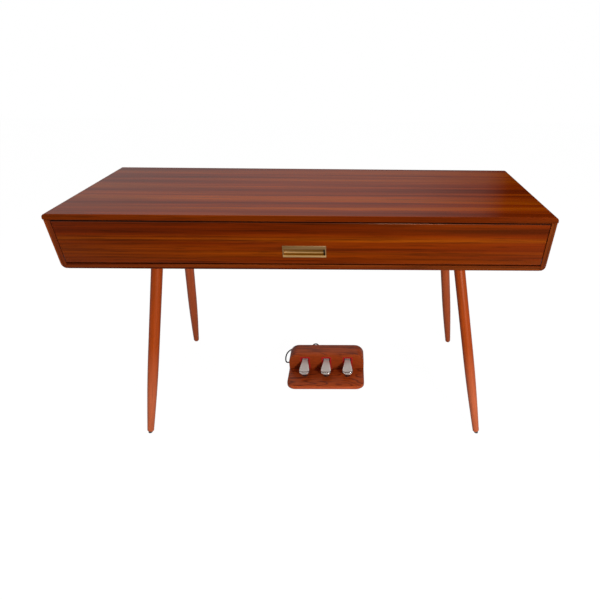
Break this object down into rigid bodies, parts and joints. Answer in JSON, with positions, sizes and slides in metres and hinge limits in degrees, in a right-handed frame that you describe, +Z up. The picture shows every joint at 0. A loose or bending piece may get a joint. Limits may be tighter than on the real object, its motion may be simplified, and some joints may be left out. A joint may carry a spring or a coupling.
{
  "type": "digital piano",
  "caption": "Desk-style digital piano: a shallow box on splayed turned legs with a drop front, a pull-out keyboard and a separate floor unit of pedals.",
  "frame": {"origin": "on the floor under the middle of the desk", "axes": "+X to the player's right, +Y to the back, +Z up; the front faces -Y"},
  "size_m": [1.408, 0.6288, 0.77],
  "materials": {
    "walnut_veneer": "satin",
    "stained_beech": "satin",
    "fibreboard": "matt",
    "brushed_brass": "brushed",
    "zinc_plated_steel": "satin",
    "black_steel": "satin",
    "black_plastic": "satin",
    "white_key_plastic": "gloss",
    "black_key_plastic": "satin",
    "varnished_ash": "satin",
    "satin_chrome": "satin",
    "red_felt": "matt",
    "black_rubber": "matt"
  },
  "bodies": {
    "cabinet": {"top_panel": "walnut_veneer", "side_panel_left": "walnut_veneer", "side_panel_right": "walnut_veneer", "bottom_panel": "walnut_veneer", "back_panel": "fibreboard", "socket_plate": "black_plastic", "speaker_left": "black_plastic", "speaker_right": "black_plastic", "leg_front_left": "stained_beech", "leg_plate_front_left": "black_steel", "glide_front_left": "black_rubber", "leg_front_right": "stained_beech", "leg_plate_front_right": "black_steel", "glide_front_right": "black_rubber", "leg_rear_left": "stained_beech", "leg_plate_rear_left": "black_steel", "glide_rear_left": "black_rubber", "leg_rear_right": "stained_beech", "leg_plate_rear_right": "black_steel", "glide_rear_right": "black_rubber", "runner_left": "zinc_plated_steel", "runner_right": "zinc_plated_steel", "pedal_base": "varnished_ash", "pedal_mat": "black_rubber", "pedal_housing": "varnished_ash", "pedal_shaft": "zinc_plated_steel", "pedal_felt": "red_felt", "bumper_soft": "black_rubber", "bumper_sostenuto": "black_rubber", "bumper_sustain": "black_rubber", "cord_grommet": "black_rubber", "pedal_cord": "black_rubber", "pedal_cord_coil": "black_rubber", "pedal_plug": "black_rubber"},
    "drawer": {"drawer_tray": "black_steel", "key_frame": "zinc_plated_steel", "keyboard_case": "black_plastic"},
    "front": {"drop_front": "walnut_veneer", "recessed_pull": "brushed_brass"},
    "volume": {"volume_knob": "zinc_plated_steel"},
    "power": {"power_button": "black_plastic"},
    "key_c": {"key_c": "white_key_plastic"},
    "key_c_sharp": {"key_c_sharp": "black_key_plastic"},
    "key_d": {"key_d": "white_key_plastic"},
    "key_d_sharp": {"key_d_sharp": "black_key_plastic"},
    "key_e": {"key_e": "white_key_plastic"},
    "key_f": {"key_f": "white_key_plastic"},
    "key_f_sharp": {"key_f_sharp": "black_key_plastic"},
    "key_g": {"key_g": "white_key_plastic"},
    "key_g_sharp": {"key_g_sharp": "black_key_plastic"},
    "key_a": {"key_a": "white_key_plastic"},
    "key_a_sharp": {"key_a_sharp": "black_key_plastic"},
    "key_b": {"key_b": "white_key_plastic"},
    "white_keys_low": {"white_keys_low": "white_key_plastic"},
    "black_keys_low": {"black_keys_low": "black_key_plastic"},
    "white_keys_high": {"white_keys_high": "white_key_plastic"},
    "black_keys_high": {"black_keys_high": "black_key_plastic"},
    "pedal_soft": {"pedal_soft": "satin_chrome"},
    "pedal_sostenuto": {"pedal_sostenuto": "satin_chrome"},
    "pedal_sustain": {"pedal_sustain": "satin_chrome"}
  },
  "joints": [
    {"name": "drawer_slide", "type": "slide", "parent": "cabinet", "child": "drawer", "axis": [0, -1, 0], "range_m": [0, 0.24]},
    {"name": "front_hinge", "type": "hinge", "parent": "drawer", "child": "front", "pos_m": [0, -0.258, 0.635], "axis": [1, 0, 0], "range_deg": [0, 90]},
    {"name": "key_c_hinge", "type": "hinge", "parent": "drawer", "child": "key_c", "pos_m": [0, -0.018, 0.697], "axis": [1, 0, 0], "range_deg": [0, 2.7], "stiffness_Nm_per_rad": 0.9, "springref_deg": -10.31},
    {"name": "key_c_sharp_hinge", "type": "hinge", "parent": "drawer", "child": "key_c_sharp", "pos_m": [0, -0.018, 0.697], "axis": [1, 0, 0], "range_deg": [0, 2.7], "stiffness_Nm_per_rad": 0.9, "springref_deg": -10.31},
    {"name": "key_d_hinge", "type": "hinge", "parent": "drawer", "child": "key_d", "pos_m": [0, -0.018, 0.697], "axis": [1, 0, 0], "range_deg": [0, 2.7], "stiffness_Nm_per_rad": 0.9, "springref_deg": -10.31},
    {"name": "key_d_sharp_hinge", "type": "hinge", "parent": "drawer", "child": "key_d_sharp", "pos_m": [0, -0.018, 0.697], "axis": [1, 0, 0], "range_deg": [0, 2.7], "stiffness_Nm_per_rad": 0.9, "springref_deg": -10.31},
    {"name": "key_e_hinge", "type": "hinge", "parent": "drawer", "child": "key_e", "pos_m": [0, -0.018, 0.697], "axis": [1, 0, 0], "range_deg": [0, 2.7], "stiffness_Nm_per_rad": 0.9, "springref_deg": -10.31},
    {"name": "key_f_hinge", "type": "hinge", "parent": "drawer", "child": "key_f", "pos_m": [0, -0.018, 0.697], "axis": [1, 0, 0], "range_deg": [0, 2.7], "stiffness_Nm_per_rad": 0.9, "springref_deg": -10.31},
    {"name": "key_f_sharp_hinge", "type": "hinge", "parent": "drawer", "child": "key_f_sharp", "pos_m": [0, -0.018, 0.697], "axis": [1, 0, 0], "range_deg": [0, 2.7], "stiffness_Nm_per_rad": 0.9, "springref_deg": -10.31},
    {"name": "key_g_hinge", "type": "hinge", "parent": "drawer", "child": "key_g", "pos_m": [0, -0.018, 0.697], "axis": [1, 0, 0], "range_deg": [0, 2.7], "stiffness_Nm_per_rad": 0.9, "springref_deg": -10.31},
    {"name": "key_g_sharp_hinge", "type": "hinge", "parent": "drawer", "child": "key_g_sharp", "pos_m": [0, -0.018, 0.697], "axis": [1, 0, 0], "range_deg": [0, 2.7], "stiffness_Nm_per_rad": 0.9, "springref_deg": -10.31},
    {"name": "key_a_hinge", "type": "hinge", "parent": "drawer", "child": "key_a", "pos_m": [0, -0.018, 0.697], "axis": [1, 0, 0], "range_deg": [0, 2.7], "stiffness_Nm_per_rad": 0.9, "springref_deg": -10.31},
    {"name": "key_a_sharp_hinge", "type": "hinge", "parent": "drawer", "child": "key_a_sharp", "pos_m": [0, -0.018, 0.697], "axis": [1, 0, 0], "range_deg": [0, 2.7], "stiffness_Nm_per_rad": 0.9, "springref_deg": -10.31},
    {"name": "key_b_hinge", "type": "hinge", "parent": "drawer", "child": "key_b", "pos_m": [0, -0.018, 0.697], "axis": [1, 0, 0], "range_deg": [0, 2.7], "stiffness_Nm_per_rad": 0.9, "springref_deg": -10.31},
    {"name": "white_keys_low_hinge", "type": "hinge", "parent": "drawer", "child": "white_keys_low", "pos_m": [0, -0.018, 0.697], "axis": [1, 0, 0], "range_deg": [0, 2.7], "stiffness_Nm_per_rad": 24, "springref_deg": -10.31},
    {"name": "black_keys_low_hinge", "type": "hinge", "parent": "drawer", "child": "black_keys_low", "pos_m": [0, -0.018, 0.697], "axis": [1, 0, 0], "range_deg": [0, 2.7], "stiffness_Nm_per_rad": 10, "springref_deg": -10.31},
    {"name": "white_keys_high_hinge", "type": "hinge", "parent": "drawer", "child": "white_keys_high", "pos_m": [0, -0.018, 0.697], "axis": [1, 0, 0], "range_deg": [0, 2.7], "stiffness_Nm_per_rad": 24, "springref_deg": -10.31},
    {"name": "black_keys_high_hinge", "type": "hinge", "parent": "drawer", "child": "black_keys_high", "pos_m": [0, -0.018, 0.697], "axis": [1, 0, 0], "range_deg": [0, 2.7], "stiffness_Nm_per_rad": 10, "springref_deg": -10.31},
    {"name": "volume_turn", "type": "hinge", "parent": "drawer", "child": "volume", "pos_m": [-0.53, -0.055, 0.745], "axis": [0, 0, 1], "range_deg": [-150, 150]},
    {"name": "power_press", "type": "slide", "parent": "drawer", "child": "power", "axis": [0, 0, -1], "range_m": [0, 0.002], "stiffness_N_per_m": 300, "springref_m": -0.002},
    {"name": "pedal_soft_hinge", "type": "hinge", "parent": "cabinet", "child": "pedal_soft", "pos_m": [0.03, 0.1105, 0.0561], "axis": [1, 0, 0], "range_deg": [0, 5.5], "stiffness_Nm_per_rad": 4, "springref_deg": -8.59},
    {"name": "pedal_sostenuto_hinge", "type": "hinge", "parent": "cabinet", "child": "pedal_sostenuto", "pos_m": [0.03, 0.1105, 0.0561], "axis": [1, 0, 0], "range_deg": [0, 5.5], "stiffness_Nm_per_rad": 4, "springref_deg": -8.59},
    {"name": "pedal_sustain_hinge", "type": "hinge", "parent": "cabinet", "child": "pedal_sustain", "pos_m": [0.03, 0.1105, 0.0561], "axis": [1, 0, 0], "range_deg": [0, 5.5], "stiffness_Nm_per_rad": 4, "springref_deg": -8.59}
  ]
}
